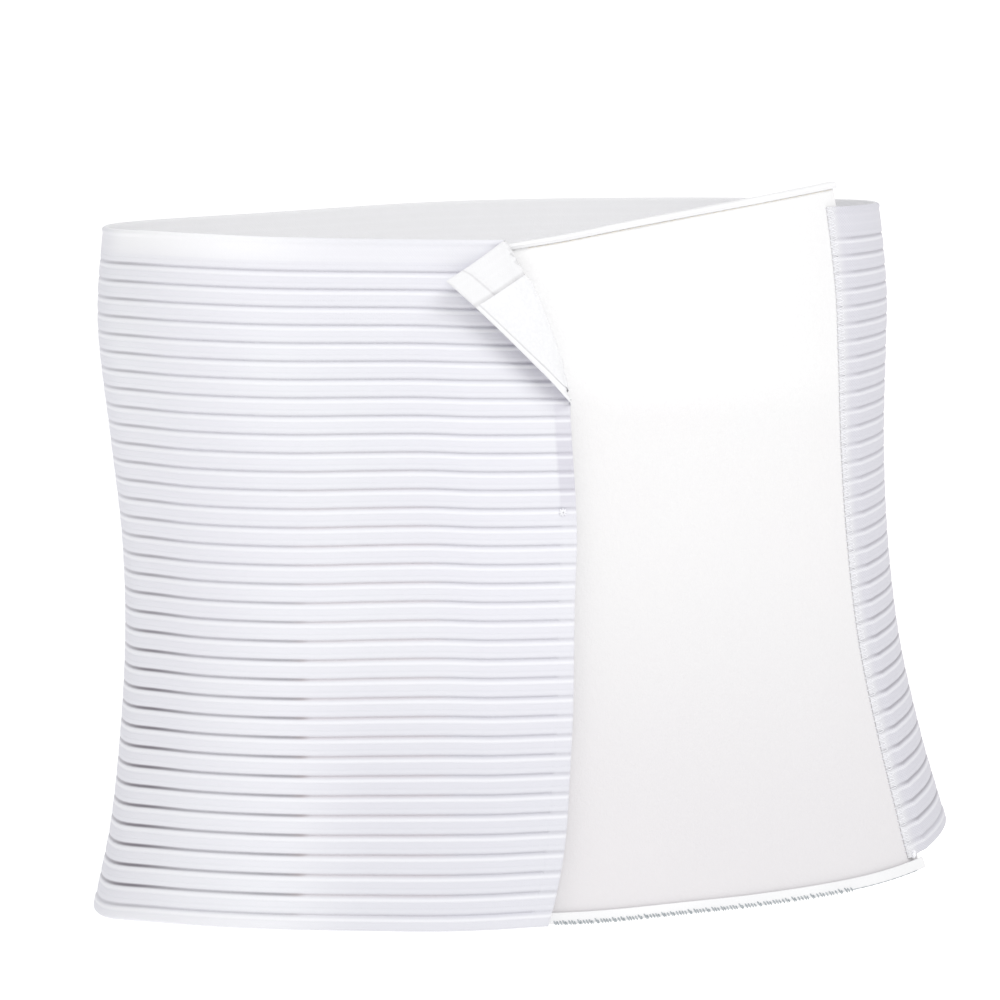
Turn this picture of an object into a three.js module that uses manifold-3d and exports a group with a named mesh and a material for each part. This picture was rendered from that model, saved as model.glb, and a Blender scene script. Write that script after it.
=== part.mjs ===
// Abdominal binder: a ribbed elastic band wrapped round a waist and closed over a smooth loop panel.
// Millimetres, +Z up, the wearer's front towards -Y. The origin is the middle of the waist hollow.
import * as THREE from 'three';
import { mergeVertices } from 'three/addons/utils/BufferGeometryUtils.js';
import Module from 'manifold-3d';

const wasm = await Module();
wasm.setup();

// Sizes of the wearer's space
const bandHeight = 281;
const waistBreadth = 322;
const waistDepth = 211;
const sectionPower = 2.3;

// Sizes of the cloths
const elasticThickness = 2.2;
const panelThickness = 2.3;
const hookThickness = 1.2;
const bindingThickness = 1;
const layerGap = 0.4;

// Sizes of the ribs and hems of the elastic
const ribCount = 34;
const topHem = 13.4;
const bottomHem = 6.3;
const endHem = 7.6;
const grooveWidth = 1.8;
const grooveDepth = 1;
const ribWideningShare = 0.075;

// Sizes of the panel's bound edges and of the hook strip
const topBindingHeight = 2.6;
const bottomBindingHeight = 5;
const hookFromTop = 14;
const hookFromBottom = 10;
const hookFromEnd = 1.5;
const hookWidth = 38;

// How far the panel reaches past the hook strip under the band, and how the band comes down beside it
const panelBeyondHook = 1.6;
const stepClearance = 1.2;
const stepRun = 45;

// The folded corner: it starts at this turn on the top edge and ends at this share of the end edge. Its
// tip lifts off the band, is drawn up along the fold and reaches a little further than the cloth laid flat.
const foldTopTurn = -10.7;
const foldEndShare = 0.236;
const foldHeightShare = 0.75;
const flapLift = 5;
const flapSlide = 2;
const flapStretchShare = 1.04;

// How far the layers lie from the wearer
const panelInner = bindingThickness + layerGap;
const panelOuter = panelInner + panelThickness;
const hookInner = panelOuter + layerGap;
const hookOuter = hookInner + hookThickness;
const bindingOuter = panelOuter + layerGap + bindingThickness;
const elasticOverHook = Math.max(hookOuter, bindingOuter) + layerGap;
const elasticOverPanel = panelOuter + layerGap;
const foldCentre = elasticOverHook + elasticThickness + layerGap;

// Cross-sections of the wearer's waist, from the lowest up. Height is a share of bandHeight, breadth
// and sideways shift are shares of waistBreadth, depth and forward shift are shares of waistDepth.
const waistSections = [
  { height: -0.6, breadth: 1.149, shift: 0.054, depth: 1.155, forward: -0.028 },
  { height: -0.5, breadth: 1.143, shift: 0.053, depth: 1.135, forward: -0.018 },
  { height: -0.37, breadth: 1.1, shift: 0.052, depth: 1.097, forward: -0.004 },
  { height: -0.24, breadth: 1.053, shift: 0.04, depth: 1.053, forward: 0.009 },
  { height: -0.09, breadth: 1.014, shift: 0.027, depth: 1.012, forward: 0.019 },
  { height: 0.06, breadth: 1, shift: 0.017, depth: 1, forward: 0.021 },
  { height: 0.21, breadth: 1.008, shift: 0.007, depth: 1.02, forward: 0.018 },
  { height: 0.36, breadth: 1.026, shift: 0.001, depth: 1.051, forward: 0.012 },
  { height: 0.43, breadth: 1.028, shift: 0.001, depth: 1.068, forward: 0.01 },
  { height: 0.52, breadth: 1.015, shift: 0.001, depth: 1.089, forward: 0.007 },
  { height: 0.62, breadth: 0.995, shift: -0.001, depth: 1.108, forward: 0.005 },
];

// Edges of the elastic by turn in degrees, 0 at the front and rising to the wearer's left. Heights are
// shares of bandHeight. The band runs from the front end backwards round to the join at about -300.
const elasticEdges = [
  { turn: -306, top: 0.565, bottom: -0.424 },
  { turn: -300, top: 0.567, bottom: -0.406 },
  { turn: -294, top: 0.569, bottom: -0.389 },
  { turn: -285, top: 0.572, bottom: -0.371 },
  { turn: -270, top: 0.576, bottom: -0.359 },
  { turn: -225, top: 0.58, bottom: -0.374 },
  { turn: -180, top: 0.573, bottom: -0.42 },
  { turn: -135, top: 0.552, bottom: -0.47 },
  { turn: -91, top: 0.534, bottom: -0.495 },
  { turn: -72, top: 0.53, bottom: -0.484 },
  { turn: -50, top: 0.522, bottom: -0.481 },
  { turn: -28, top: 0.519, bottom: -0.48 },
  { turn: -10, top: 0.518, bottom: -0.474 },
  { turn: 4, top: 0.518, bottom: -0.471 },
];

// The elastic's front end: its turn by share of the way down the band
const frontEnd = [
  { share: 0, turn: 2.2 },
  { share: 0.23, turn: 2.2 },
  { share: 0.41, turn: 2.3 },
  { share: 0.53, turn: 0.6 },
  { share: 0.67, turn: -1.5 },
  { share: 0.82, turn: -4.8 },
  { share: 0.96, turn: -8.3 },
  { share: 1, turn: -9.6 },
];

// The join at the wearer's left: where the elastic ends on the panel, and where the panel ends under
// it, by height as a share of bandHeight
const joinEdges = [
  { height: -0.46, elastic: 60.2, panel: 64 },
  { height: -0.42, elastic: 60, panel: 63 },
  { height: -0.36, elastic: 59.4, panel: 62 },
  { height: -0.24, elastic: 59.7, panel: 62.1 },
  { height: -0.08, elastic: 59.8, panel: 62.2 },
  { height: 0.1, elastic: 59.4, panel: 62 },
  { height: 0.35, elastic: 57.4, panel: 60.2 },
  { height: 0.54, elastic: 54.2, panel: 57.2 },
  { height: 0.6, elastic: 53, panel: 56 },
];

// Edges of the closure panel by turn, as shares of bandHeight
const panelEdges = [
  { turn: -18, top: 0.5, bottom: -0.47 },
  { turn: -9, top: 0.513, bottom: -0.473 },
  { turn: 1, top: 0.525, bottom: -0.4715 },
  { turn: 16, top: 0.5465, bottom: -0.464 },
  { turn: 32, top: 0.569, bottom: -0.456 },
  { turn: 50, top: 0.5945, bottom: -0.442 },
  { turn: 64, top: 0.612, bottom: -0.4235 },
];

// Turns in degrees at which the cloths bend round the body, closer together at the narrow sides
const leftTurns = [-47, -54, -60, -66, -72, -78, -84, -90, -97, -104, -112, -121, -132, -144];
const rightTurns = [-156, -168, -180, -192, -204, -216, -228, -239, -248, -256, -263, -270];
const panelTurns = [-9, -4, 1, 12, 24, 35, 45];
const joinFootTurn = -276;
const joinRiseSteps = 3;
const stepSteps = 2;
const joinClearTurn = 0.8;
const fullTurn = 360;

// Value of one column of a table at a place between its rows, by a smooth curve through them
function tableValue(table, key, column, at) {
  const last = table.length - 2;
  let row = 0;
  while (row < last && at > table[row + 1][key]) row += 1;
  const slope = (i) => {
    const before = table[Math.max(i - 1, 0)];
    const after = table[Math.min(i + 1, table.length - 1)];
    return (after[column] - before[column]) / (after[key] - before[key]);
  };
  const from = table[row];
  const to = table[row + 1];
  const span = to[key] - from[key];
  const t = THREE.MathUtils.clamp((at - from[key]) / span, 0, 1);
  const hermite = new THREE.Vector4(2 * t ** 3 - 3 * t ** 2 + 1, (t ** 3 - 2 * t ** 2 + t) * span,
    3 * t ** 2 - 2 * t ** 3, (t ** 3 - t ** 2) * span);
  return hermite.dot(new THREE.Vector4(from[column], slope(row), to[column], slope(row + 1)));
}

// Half sizes and centre of the wearer's waist at a height
function waistAt(height) {
  const value = (column) => tableValue(waistSections, 'height', column, height / bandHeight);
  return {
    halfBreadth: value('breadth') * waistBreadth / 2,
    halfDepth: value('depth') * waistDepth / 2,
    midX: value('shift') * waistBreadth,
    midY: -value('forward') * waistDepth,
  };
}

// Point at a turn and height, this far out from the wearer
function onBody(turn, height, out) {
  const waist = waistAt(height);
  const angle = THREE.MathUtils.degToRad(turn);
  const across = Math.abs(Math.sin(angle)) / (waist.halfBreadth + out);
  const along = Math.abs(Math.cos(angle)) / (waist.halfDepth + out);
  const radius = (across ** sectionPower + along ** sectionPower) ** (-1 / sectionPower);
  return new THREE.Vector3(waist.midX + radius * Math.sin(angle), waist.midY - radius * Math.cos(angle), height);
}

// A sheet of cloth as a thin box of columns and rows, bent to where place(column, row, isOuter) puts
// each point. Rows that place sets on one another join into one.
function sheet(columnCount, rowCount, place) {
  const geometry = new THREE.BoxGeometry(1, 1, 1, columnCount - 1, rowCount - 1, 1);
  const position = geometry.attributes.position;
  for (let i = 0; i < position.count; i += 1) {
    const column = Math.round((position.getX(i) + 0.5) * (columnCount - 1));
    const row = Math.round((0.5 - position.getY(i)) * (rowCount - 1));
    const point = place(column, row, position.getZ(i) > 0);
    position.setXYZ(i, point.x, point.y, point.z);
  }
  return closed(geometry);
}

// A section outline carried through numbered columns: place(column, x, y) gives each point in space
function sweep(outline, columnCount, place) {
  const shape = new THREE.Shape(outline);
  const steps = columnCount - 1;
  const geometry = new THREE.ExtrudeGeometry(shape, { depth: steps, steps, bevelEnabled: false });
  const position = geometry.attributes.position;
  for (let i = 0; i < position.count; i += 1) {
    const point = place(Math.round(position.getZ(i)), position.getX(i), position.getY(i));
    position.setXYZ(i, point.x, point.y, point.z);
  }
  return closed(geometry);
}

// Geometry with its shared points merged and its flattened triangles dropped, ready for a join or cut
function closed(geometry) {
  geometry.deleteAttribute('normal');
  geometry.deleteAttribute('uv');
  geometry.clearGroups();
  const merged = mergeVertices(geometry, 1e-5);
  const index = merged.index.array;
  const kept = [];
  for (let i = 0; i < index.length; i += 3) {
    const [a, b, c] = index.subarray(i, i + 3);
    if (a !== b && b !== c && c !== a) kept.push(a, b, c);
  }
  merged.setIndex(kept);
  return merged;
}

function toSolid(geometry) {
  const vertProperties = new Float32Array(geometry.attributes.position.array);
  const solid = (triVerts) => new wasm.Manifold(new wasm.Mesh({ numProp: 3, vertProperties, triVerts }));
  const made = solid(new Uint32Array(geometry.index.array));
  if (made.volume() > 0) return made;
  return solid(new Uint32Array(geometry.index.array).reverse());
}

function toMesh(name, solid, look) {
  const { vertProperties, triVerts } = solid.getMesh();
  const geometry = new THREE.BufferGeometry();
  geometry.setAttribute('position', new THREE.BufferAttribute(vertProperties, 3));
  geometry.setIndex(new THREE.BufferAttribute(triVerts, 1));
  geometry.computeVertexNormals();
  const mesh = new THREE.Mesh(geometry, new THREE.MeshStandardMaterial(look));
  mesh.name = name;
  return mesh;
}

// Evenly spread values from one end to the other, both included
function spread(from, to, count) {
  return Array.from({ length: count }, (_, i) => THREE.MathUtils.lerp(from, to, i / (count - 1)));
}

const elasticTop = (turn) => tableValue(elasticEdges, 'turn', 'top', turn) * bandHeight;
const elasticBottom = (turn) => tableValue(elasticEdges, 'turn', 'bottom', turn) * bandHeight;
const panelTop = (turn) => tableValue(panelEdges, 'turn', 'top', turn) * bandHeight;
const panelBottom = (turn) => tableValue(panelEdges, 'turn', 'bottom', turn) * bandHeight;
const endTurn = (share) => tableValue(frontEnd, 'share', 'turn', share);
const joinTurn = (height, cloth) => tableValue(joinEdges, 'height', cloth, height / bandHeight);
const elasticHeight = (turn, share) => THREE.MathUtils.lerp(elasticTop(turn), elasticBottom(turn), share);

// Millimetres along the front of the cloth for each degree round the body, level with the fold
const foldWaist = waistAt(elasticTop(foldTopTurn) * foldHeightShare);
const frontArc = THREE.MathUtils.degToRad(foldWaist.halfDepth + elasticOverHook);

// Turns of the layers' hidden edges, one after the other from the end hem backwards
const endHemTurn = endHem / frontArc;
const hookEdgeTurn = endTurn(0) - (hookFromEnd + hookWidth) / frontArc;
const panelStartTurn = hookEdgeTurn - panelBeyondHook / frontArc;
const stepTopTurn = panelStartTurn - stepClearance / frontArc;
const stepFootTurn = stepTopTurn - stepRun / frontArc;

// Columns of the elastic from the front end round to the join. Each gives its turn by share across,
// how far its inner face stands out, and whether the grooves are pressed in there.
function elasticColumns() {
  const hemEdge = (share) => endTurn(share) - endHemTurn;
  const firstRib = (share) => hemEdge(share) - grooveWidth / 2 / frontArc;
  const fixed = (turn) => ({ turn: () => turn, out: 0, ribbed: true });
  const joinMiddleTurn = joinTurn(0, 'elastic') - fullTurn;
  const joinedTurn = (share, cloth) => joinTurn(elasticHeight(joinMiddleTurn, share), cloth) - fullTurn;
  const clearTurn = (share) => joinedTurn(share, 'panel') + joinClearTurn;
  const falling = (part) => ({
    turn: () => THREE.MathUtils.lerp(stepTopTurn, stepFootTurn, part),
    out: elasticOverHook * (1 - part),
    ribbed: true,
  });
  const rising = (part) => ({
    turn: (share) => THREE.MathUtils.lerp(joinFootTurn, clearTurn(share), part),
    out: elasticOverPanel * part,
    ribbed: true,
  });
  return [
    { turn: endTurn, out: elasticOverHook, ribbed: false },
    { turn: hemEdge, out: elasticOverHook, ribbed: false },
    { turn: firstRib, out: elasticOverHook, ribbed: true },
    { turn: (share) => (firstRib(share) + stepTopTurn) / 2, out: elasticOverHook, ribbed: true },
    ...spread(0, 1, stepSteps + 1).map(falling),
    ...leftTurns.map(fixed),
    ...rightTurns.map(fixed),
    ...spread(0, 1, joinRiseSteps + 1).map(rising),
    { turn: (share) => joinedTurn(share, 'panel'), out: elasticOverPanel, ribbed: false },
    { turn: (share) => joinedTurn(share, 'elastic'), out: elasticOverPanel, ribbed: false },
  ];
}

// Rows of the elastic's outer face from its top edge down: the share of the way down the band, and
// how deep the groove between two ribs is there
function elasticRows() {
  const ribZone = bandHeight - topHem - bottomHem;
  const rows = [{ share: 0, deep: 0 }];
  for (let i = 0; i <= ribCount; i += 1) {
    const step = i / ribCount;
    const middle = topHem + ribZone * step * (1 + ribWideningShare * (step - 1));
    rows.push(
      { share: (middle - grooveWidth / 2) / bandHeight, deep: 0 },
      { share: middle / bandHeight, deep: grooveDepth },
      { share: (middle + grooveWidth / 2) / bandHeight, deep: 0 },
    );
  }
  rows.push({ share: 1, deep: 0 });
  return rows;
}

// The elastic band before its corner is folded. Its inner face has no ribs, so it takes fewer rows.
function flatElastic() {
  const columns = elasticColumns();
  const rows = elasticRows();
  const last = rows.length - 1;
  const innerStep = 10;
  return toSolid(sheet(columns.length, rows.length, (column, row, isOuter) => {
    const { turn, out, ribbed } = columns[column];
    const innerRow = row === last ? last : Math.floor(row / innerStep) * innerStep;
    const { share, deep } = rows[isOuter ? row : innerRow];
    const through = isOuter ? elasticThickness - (ribbed ? deep : 0) : 0;
    return onBody(turn(share), elasticHeight(turn(share), share), out + through);
  }));
}

// The fold runs from the top edge to the end edge. Along and away measure millimetres on the cloth,
// along the fold line and square to it towards the corner that turns over.
const foldStart = new THREE.Vector2(foldTopTurn * frontArc, elasticTop(foldTopTurn));
const foldEnd = new THREE.Vector2(endTurn(foldEndShare) * frontArc, elasticHeight(0, foldEndShare));
const corner = new THREE.Vector2(endTurn(0) * frontArc, elasticTop(endTurn(0))).sub(foldStart);
const foldLength = foldStart.distanceTo(foldEnd);
const foldAlong = foldEnd.clone().sub(foldStart).normalize();
const foldAway = new THREE.Vector2(-foldAlong.y, foldAlong.x);
const cornerAlong = corner.dot(foldAlong);
const cornerAway = corner.dot(foldAway);

function onFold(along, away, out) {
  const flat = foldStart.clone().addScaledVector(foldAlong, along).addScaledVector(foldAway, away);
  return onBody(flat.x / frontArc, flat.y, out);
}

// How far the turned corner reaches from the fold, kept this far inside its top and end edges
function flapReach(along, insideTop, insideEnd) {
  const topSlope = cornerAway / cornerAlong;
  const endSlope = cornerAway / (foldLength - cornerAlong);
  return Math.min(
    topSlope * along - insideTop * Math.hypot(1, topSlope),
    endSlope * (foldLength - along) - insideEnd * Math.hypot(1, endSlope),
  );
}

// Cloth beyond the fold line, cut away before the turned corner is joined on
function beyondFold() {
  const margin = 12;
  const box = new THREE.BoxGeometry(1, 1, 1, 16, 8, 1);
  const position = box.attributes.position;
  for (let i = 0; i < position.count; i += 1) {
    const along = THREE.MathUtils.lerp(-margin, foldLength + margin, position.getX(i) + 0.5);
    const away = (position.getY(i) + 0.5) * (cornerAway + margin);
    const point = onFold(along, away, position.getZ(i) > 0 ? foldCentre * 2 : -margin);
    position.setXYZ(i, point.x, point.y, point.z);
  }
  return toSolid(closed(box));
}

// The turned corner: a rolled edge and the cloth that lies back over the band, from one distance
// along the fold to another. Inner and outer are where its two faces stand before the fold.
function turnedCorner(insideTop, insideEnd, inner, outer, stations) {
  const lap = 1.2;
  const shortest = 0.5;
  const rollSteps = 6;
  const flatSteps = 3;
  const roll = Math.PI * (foldCentre - (inner + outer) / 2);
  const arcs = [-lap, ...spread(0, roll, rollSteps + 1)];
  const rows = arcs.length + flatSteps;
  const place = (column, row, isOuter) => {
    const along = stations[column];
    const reach = Math.max(flapReach(along, insideTop, insideEnd), shortest);
    const before = foldCentre - (isOuter ? outer : inner);
    if (row < arcs.length) {
      const angle = Math.max(arcs[row], 0) / roll * Math.PI;
      const bulge = before * Math.sqrt(Math.sin(Math.PI * along / foldLength)) * Math.sin(angle);
      return onFold(along, Math.min(arcs[row], 0) + bulge, foldCentre - before * Math.cos(angle));
    }
    const back = reach * (row - arcs.length + 1) / flatSteps;
    const tipShare = back / cornerAway;
    const level = foldCentre + before + flapLift * tipShare ** 2;
    return onFold(along - flapSlide * tipShare, -back * flapStretchShare, level);
  };
  return toSolid(sheet(stations.length, rows, place));
}

function ribbedElastic() {
  const thinner = 0.12;
  const tipInset = 0.6;
  const endInset = 0.8;
  const beyondCorner = spread(cornerAlong, foldLength - endInset, 7).slice(1);
  const stations = [tipInset, cornerAlong / 2, cornerAlong, ...beyondCorner];
  const turned = turnedCorner(0, 0, elasticOverHook + thinner,
    elasticOverHook + elasticThickness - thinner, stations);
  return flatElastic().subtract(beyondFold()).add(turned);
}

// The hook strip under the elastic's front end, folded over with it
function hookStrip() {
  const thinner = 0.1;
  const rows = spread(0, 1, 13);
  const columns = spread(0, 1, 4);
  const top = elasticTop(0);
  const bottom = elasticBottom(0);
  const flat = toSolid(sheet(columns.length, rows.length, (column, row, isOuter) => {
    const height = THREE.MathUtils.lerp(top - hookFromTop, bottom + hookFromBottom, rows[row]);
    const outerEdge = endTurn((top - height) / (top - bottom)) - hookFromEnd / frontArc;
    const turn = THREE.MathUtils.lerp(outerEdge, hookEdgeTurn, columns[column]);
    return onBody(turn, height, isOuter ? hookOuter : hookInner);
  }));
  const reach = (along) => flapReach(along, hookFromTop, hookFromEnd);
  const inside = spread(0, foldLength, 200).filter((along) => reach(along) > 0);
  const peak = inside.reduce((best, along) => (reach(along) > reach(best) ? along : best));
  const first = inside[0];
  const final = inside[inside.length - 1];
  const stations = [first, (first + peak) / 2, peak, ...spread(peak, final, 5).slice(1)];
  const turned = turnedCorner(hookFromTop, hookFromEnd, hookInner + thinner, hookOuter - thinner, stations);
  return flat.subtract(beyondFold()).add(turned);
}

// Columns of the panel and its bindings, from the end under the elastic to the join
function panelColumns() {
  const lastTurn = panelTurns[panelTurns.length - 1];
  return [
    () => panelStartTurn,
    ...panelTurns.map((turn) => () => turn),
    (height) => (lastTurn + joinTurn(height, 'elastic')) / 2,
    (height) => joinTurn(height, 'elastic'),
    (height) => joinTurn(height, 'panel'),
  ];
}

// Height on a panel column, measured into the panel from its top or bottom edge
function panelHeight(column, isTop, fromEdge) {
  const edge = isTop ? panelTop : panelBottom;
  const turn = column(edge(column(0)));
  return edge(turn) + (isTop ? -fromEdge : fromEdge);
}

function closurePanel() {
  const columns = panelColumns();
  const rows = spread(0, 1, 17);
  const edgeGap = bindingThickness + layerGap;
  return toSolid(sheet(columns.length, rows.length, (index, row, isOuter) => {
    const column = columns[index];
    const top = panelHeight(column, true, edgeGap);
    const bottom = panelHeight(column, false, edgeGap);
    const height = THREE.MathUtils.lerp(top, bottom, rows[row]);
    return onBody(column(height), height, isOuter ? panelOuter : panelInner);
  }));
}

// A binding folded over one long edge of the panel, with a leg on each side of the cloth
function panelBinding(legHeight, isTop) {
  const columns = panelColumns();
  const web = bindingThickness;
  const outline = [[0, 0], [legHeight, 0], [legHeight, web], [web, web], [web, bindingOuter - web],
    [legHeight, bindingOuter - web], [legHeight, bindingOuter], [0, bindingOuter]]
    .map(([x, y]) => new THREE.Vector2(x, y));
  return toSolid(sweep(outline, columns.length, (index, fromEdge, out) => {
    const height = panelHeight(columns[index], isTop, fromEdge);
    return onBody(columns[index](height), height, out);
  }));
}

const elasticLook = { color: 0xe9e9f0, roughness: 0.85, metalness: 0 };
const panelLook = { color: 0xf4f2f3, roughness: 0.95, metalness: 0 };
const bindingLook = { color: 0xfafafa, roughness: 0.7, metalness: 0 };
const hookLook = { color: 0xf2f2f2, roughness: 0.6, metalness: 0 };

const binder = new THREE.Group();
binder.name = 'abdominal_binder';
binder.add(
  toMesh('ribbed_elastic_band', ribbedElastic(), elasticLook),
  toMesh('hook_strip', hookStrip(), hookLook),
  toMesh('closure_panel', closurePanel(), panelLook),
  toMesh('panel_top_binding', panelBinding(topBindingHeight, true), bindingLook),
  toMesh('panel_bottom_binding', panelBinding(bottomBindingHeight, false), bindingLook),
);

export default binder;
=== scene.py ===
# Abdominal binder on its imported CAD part: a ribbed elastic band closed over a soft loop panel. Sizes are
# millimetres and turns are degrees round the waist from the front, unless a note says otherwise.
import bpy
import math
import numpy as np
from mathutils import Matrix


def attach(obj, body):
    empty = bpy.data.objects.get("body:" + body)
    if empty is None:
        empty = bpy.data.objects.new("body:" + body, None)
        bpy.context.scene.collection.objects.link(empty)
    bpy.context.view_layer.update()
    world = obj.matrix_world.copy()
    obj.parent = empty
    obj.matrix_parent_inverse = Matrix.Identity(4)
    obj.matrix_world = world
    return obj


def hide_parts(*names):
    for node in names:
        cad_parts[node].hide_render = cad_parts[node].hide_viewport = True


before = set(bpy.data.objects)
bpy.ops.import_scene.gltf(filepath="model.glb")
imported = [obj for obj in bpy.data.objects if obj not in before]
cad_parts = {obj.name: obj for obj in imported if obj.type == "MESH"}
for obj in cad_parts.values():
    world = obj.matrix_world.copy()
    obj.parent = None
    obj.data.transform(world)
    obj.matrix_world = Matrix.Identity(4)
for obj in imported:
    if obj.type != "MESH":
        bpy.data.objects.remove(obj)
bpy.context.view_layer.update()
millimetre = 0.001
fullTurn = 360.0
print("frame loaded:", ", ".join(sorted(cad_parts)))

# The waist form that the cloths follow
waist = {
    "breadth": 322.0,
    "depth": 211.0,
    "power": 2.3,  # of the section, 2 is an ellipse and more is squarer
    "bandHeight": 281.0,
    # cross-sections from the lowest up, as shares of bandHeight, breadth and depth
    "sections": {
        "height": (-0.6, -0.5, -0.37, -0.24, -0.09, 0.06, 0.21, 0.36, 0.43, 0.52, 0.62),
        "breadth": (1.149, 1.143, 1.1, 1.053, 1.014, 1.0, 1.008, 1.026, 1.028, 1.015, 0.995),
        "shift": (0.054, 0.053, 0.052, 0.04, 0.027, 0.017, 0.007, 0.001, 0.001, 0.001, -0.001),
        "depth": (1.155, 1.135, 1.097, 1.053, 1.012, 1.0, 1.02, 1.051, 1.068, 1.089, 1.108),
        "forward": (-0.028, -0.018, -0.004, 0.009, 0.019, 0.021, 0.018, 0.012, 0.01, 0.007, 0.005),
    },
}


# Smooth curve through the rows of a table: a cubic between two rows, with slopes taken from the rows
# on either side, and the end rows' values beyond the ends
def tableValue(table, key, column, at):
    keys, values = np.asarray(table[key], float), np.asarray(table[column], float)
    last = len(keys) - 1
    before, after = np.maximum(np.arange(last + 1) - 1, 0), np.minimum(np.arange(last + 1) + 1, last)
    slopes = (values[after] - values[before]) / (keys[after] - keys[before])
    row = np.clip(np.searchsorted(keys, at, side="left") - 1, 0, last - 1)
    span = keys[row + 1] - keys[row]
    t = np.clip((at - keys[row]) / span, 0, 1)
    return (
        (2 * t**3 - 3 * t**2 + 1) * values[row]
        + (t**3 - 2 * t**2 + t) * span * slopes[row]
        + (3 * t**2 - 2 * t**3) * values[row + 1]
        + (t**3 - t**2) * span * slopes[row + 1]
    )


# Point at a turn, height and level, which is how far out it lies: on a superellipse whose half sizes
# are those of the waist at that height plus the level
def onBody(turn, height, level):
    section = {
        column: tableValue(waist["sections"], "height", column, height / waist["bandHeight"])
        for column in ("breadth", "shift", "depth", "forward")
    }
    angle = np.radians(turn)
    across = np.abs(np.sin(angle)) / (section["breadth"] * waist["breadth"] / 2 + level)
    along = np.abs(np.cos(angle)) / (section["depth"] * waist["depth"] / 2 + level)
    radius = (across ** waist["power"] + along ** waist["power"]) ** (-1 / waist["power"])
    return np.stack(
        [
            section["shift"] * waist["breadth"] + radius * np.sin(angle),
            -section["forward"] * waist["depth"] - radius * np.cos(angle),
            height + 0 * radius,
        ],
        -1,
    )


# 0 below start, 1 above stop, an even S between them
def easeIn(start, stop, value):
    t = np.clip((value - start) / (stop - start), 0, 1)
    return t * t * (3 - 2 * t)


# 1 at the centre, falling to 0 on both sides as a bell
def bell(centre, width, value):
    return np.exp(-(((value - centre) / width) ** 2))


# How full the cloth is this far inside its nearest edge: a quarter circle, so edges are round
def roundedEdge(inside, roundness, least=0.3):
    t = np.clip(inside / roundness, 0, 1)
    return np.maximum(np.sqrt(1 - (1 - t) ** 2), least)


# Meshes

# Four-sided faces of a grid of points numbered row by row, the first edge of each along the row
def gridFaces(rowCount, columnCount, first=0, flipped=False):
    row, column = np.meshgrid(np.arange(rowCount - 1), np.arange(columnCount - 1), indexing="ij")
    corner = (first + row * columnCount + column).ravel()
    faces = np.stack([corner, corner + 1, corner + columnCount + 1, corner + columnCount], 1)
    return faces[:, ::-1] if flipped else faces


# Faces between two lines of points, each given by its point numbers
def stripFaces(line, other):
    return np.stack([line[1:], line[:-1], other[:-1], other[1:]], 1)


def makeMesh(name, points, faces, uv=None, marks=None, finish=None, sharpAngle=50.0):
    mesh = bpy.data.meshes.new(name)
    mesh.from_pydata((np.asarray(points).reshape(-1, 3) * millimetre).tolist(), [], faces)
    if uv is not None:
        layer = mesh.uv_layers.new(name="cloth")
        corners = np.zeros(len(mesh.loops), np.int32)
        mesh.loops.foreach_get("vertex_index", corners)
        layer.data.foreach_set("uv", np.asarray(uv, np.float32).reshape(-1, 2)[corners].ravel())
    for mark, values in (marks or {}).items():
        attribute = mesh.attributes.new(mark, "FLOAT", "POINT")
        attribute.data.foreach_set("value", np.asarray(values, np.float32).ravel())
    mesh.shade_smooth()
    mesh.set_sharp_from_angle(angle=math.radians(sharpAngle))
    mesh.validate()
    piece = bpy.data.objects.new(name, mesh)
    bpy.context.scene.collection.objects.link(piece)
    if finish is not None:
        mesh.materials.append(finish)
    return piece


# A row of shares: single ones at both rims, and between them stretches of a start, a stop and a count
def rimmed(shares):
    return np.concatenate([shares[0], *(np.linspace(*stretch) for stretch in shares[1:-1]), shares[-1]])


# A sheet of cloth with an outer and an inner face and a closed rim. A face is its points, their places
# in the cloth and their marks. Both share their columns, and the inner one may have fewer rows, the
# ones numbered in innerRows.
def clothSheet(name, outerFace, innerFace, innerRows, finish):
    (outer, uv, marks), (inner, innerUv, innerMarks) = outerFace, innerFace
    rowCount, columnCount = outer.shape[:2]
    innerCount = inner.shape[0]
    outerNumber = np.arange(rowCount * columnCount).reshape(rowCount, columnCount)
    innerNumber = outerNumber.size + np.arange(innerCount * columnCount).reshape(innerCount, columnCount)
    faces = gridFaces(rowCount, columnCount).tolist()
    faces += gridFaces(innerCount, columnCount, outerNumber.size, flipped=True).tolist()
    faces += stripFaces(outerNumber[0], innerNumber[0]).tolist()
    faces += stripFaces(innerNumber[-1], outerNumber[-1]).tolist()
    for i, (start, stop) in enumerate(zip(innerRows[:-1], innerRows[1:])):
        near, far = outerNumber[start : stop + 1, 0], outerNumber[start : stop + 1, -1]
        faces.append([*near.tolist(), int(innerNumber[i + 1, 0]), int(innerNumber[i, 0])])
        faces.append([*far[::-1].tolist(), int(innerNumber[i, -1]), int(innerNumber[i + 1, -1])])
    points = np.concatenate([outer.reshape(-1, 3), inner.reshape(-1, 3)])
    allUv = np.concatenate([uv.reshape(-1, 2), innerUv.reshape(-1, 2)])
    allMarks = {key: np.concatenate([marks[key].ravel(), innerMarks[key].ravel()]) for key in marks}
    return makeMesh(name, points, faces, allUv, allMarks, finish)


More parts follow.
